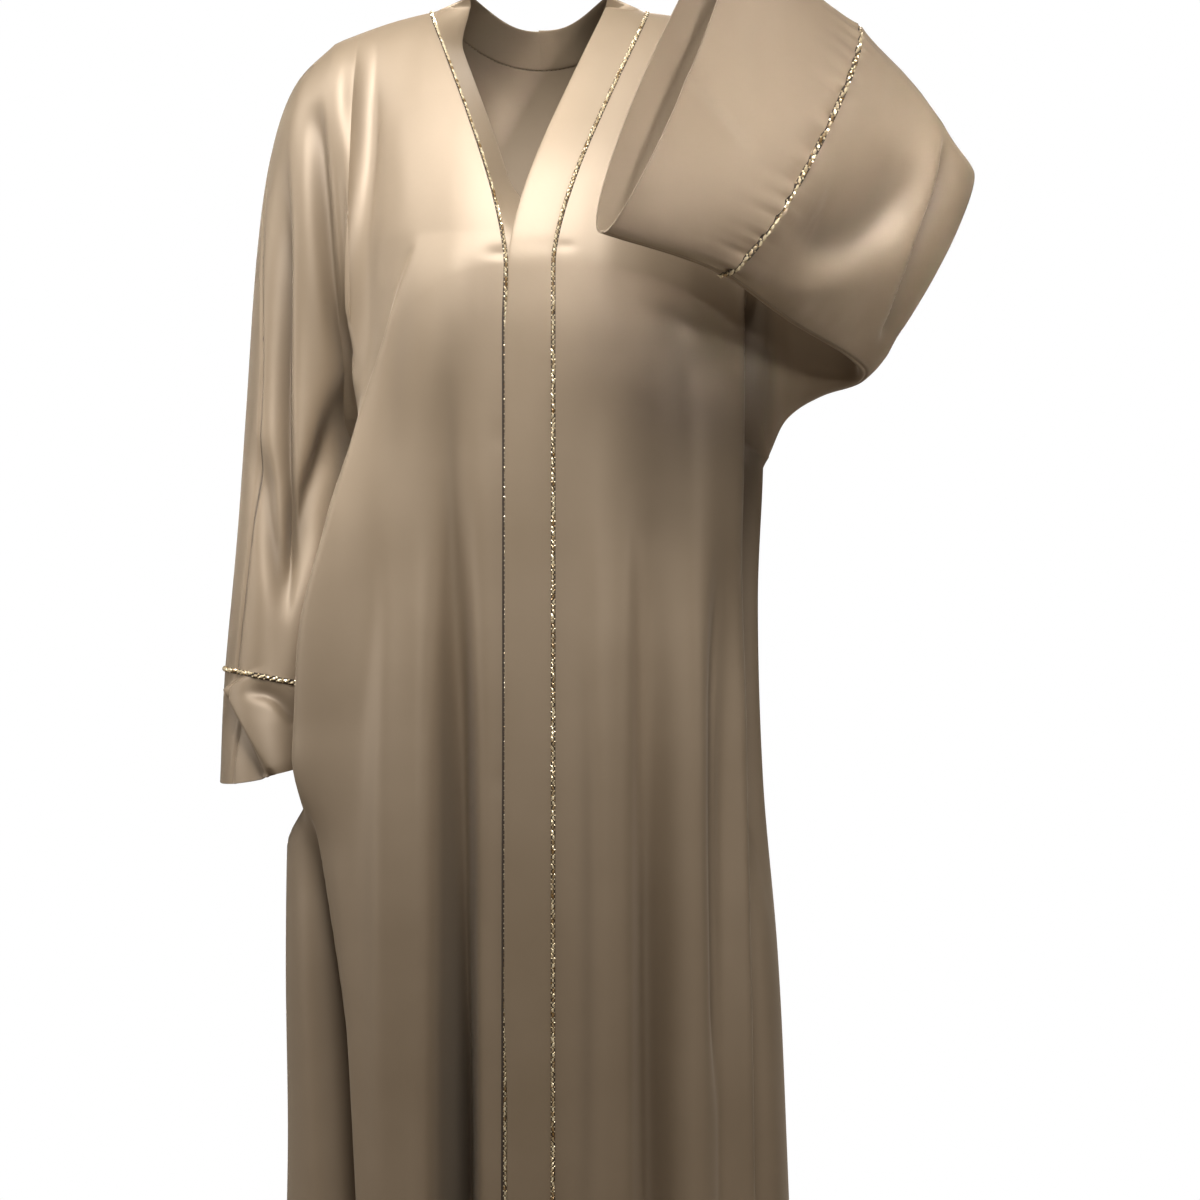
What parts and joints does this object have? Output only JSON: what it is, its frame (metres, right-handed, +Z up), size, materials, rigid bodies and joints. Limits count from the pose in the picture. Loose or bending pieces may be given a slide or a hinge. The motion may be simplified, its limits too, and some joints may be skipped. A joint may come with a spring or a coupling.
{
  "type": "abaya cloak",
  "caption": "Full-length open-front satin cloak with kimono sleeves, beaded front bands and beaded turned cuffs, hanging as worn with one arm down and one raised.",
  "frame": {"origin": "middle of the neck, level with the side-neck points, where the wearer's shoulders carry the cloak", "axes": "+Z up along the cloak's length, -Y to the front, +X to the wearer's left"},
  "size_m": [0.7443, 0.554, 1.3918],
  "materials": {
    "satin": "soft satin sheen, taupe beige",
    "satin_band": "soft satin sheen, pressed flat, taupe beige",
    "bead_cord": "gold-lined seed beads"
  },
  "bodies": {
    "root": {"back": "satin", "front_left": "satin", "front_right": "satin", "cuff_left": "satin", "cuff_right": "satin", "band_left": "satin_band", "band_right": "satin_band", "bead_trim_front_left": "bead_cord", "bead_trim_front_right": "bead_cord", "bead_trim_cuff_left": "bead_cord", "bead_trim_cuff_right": "bead_cord"}
  },
  "joints": []
}
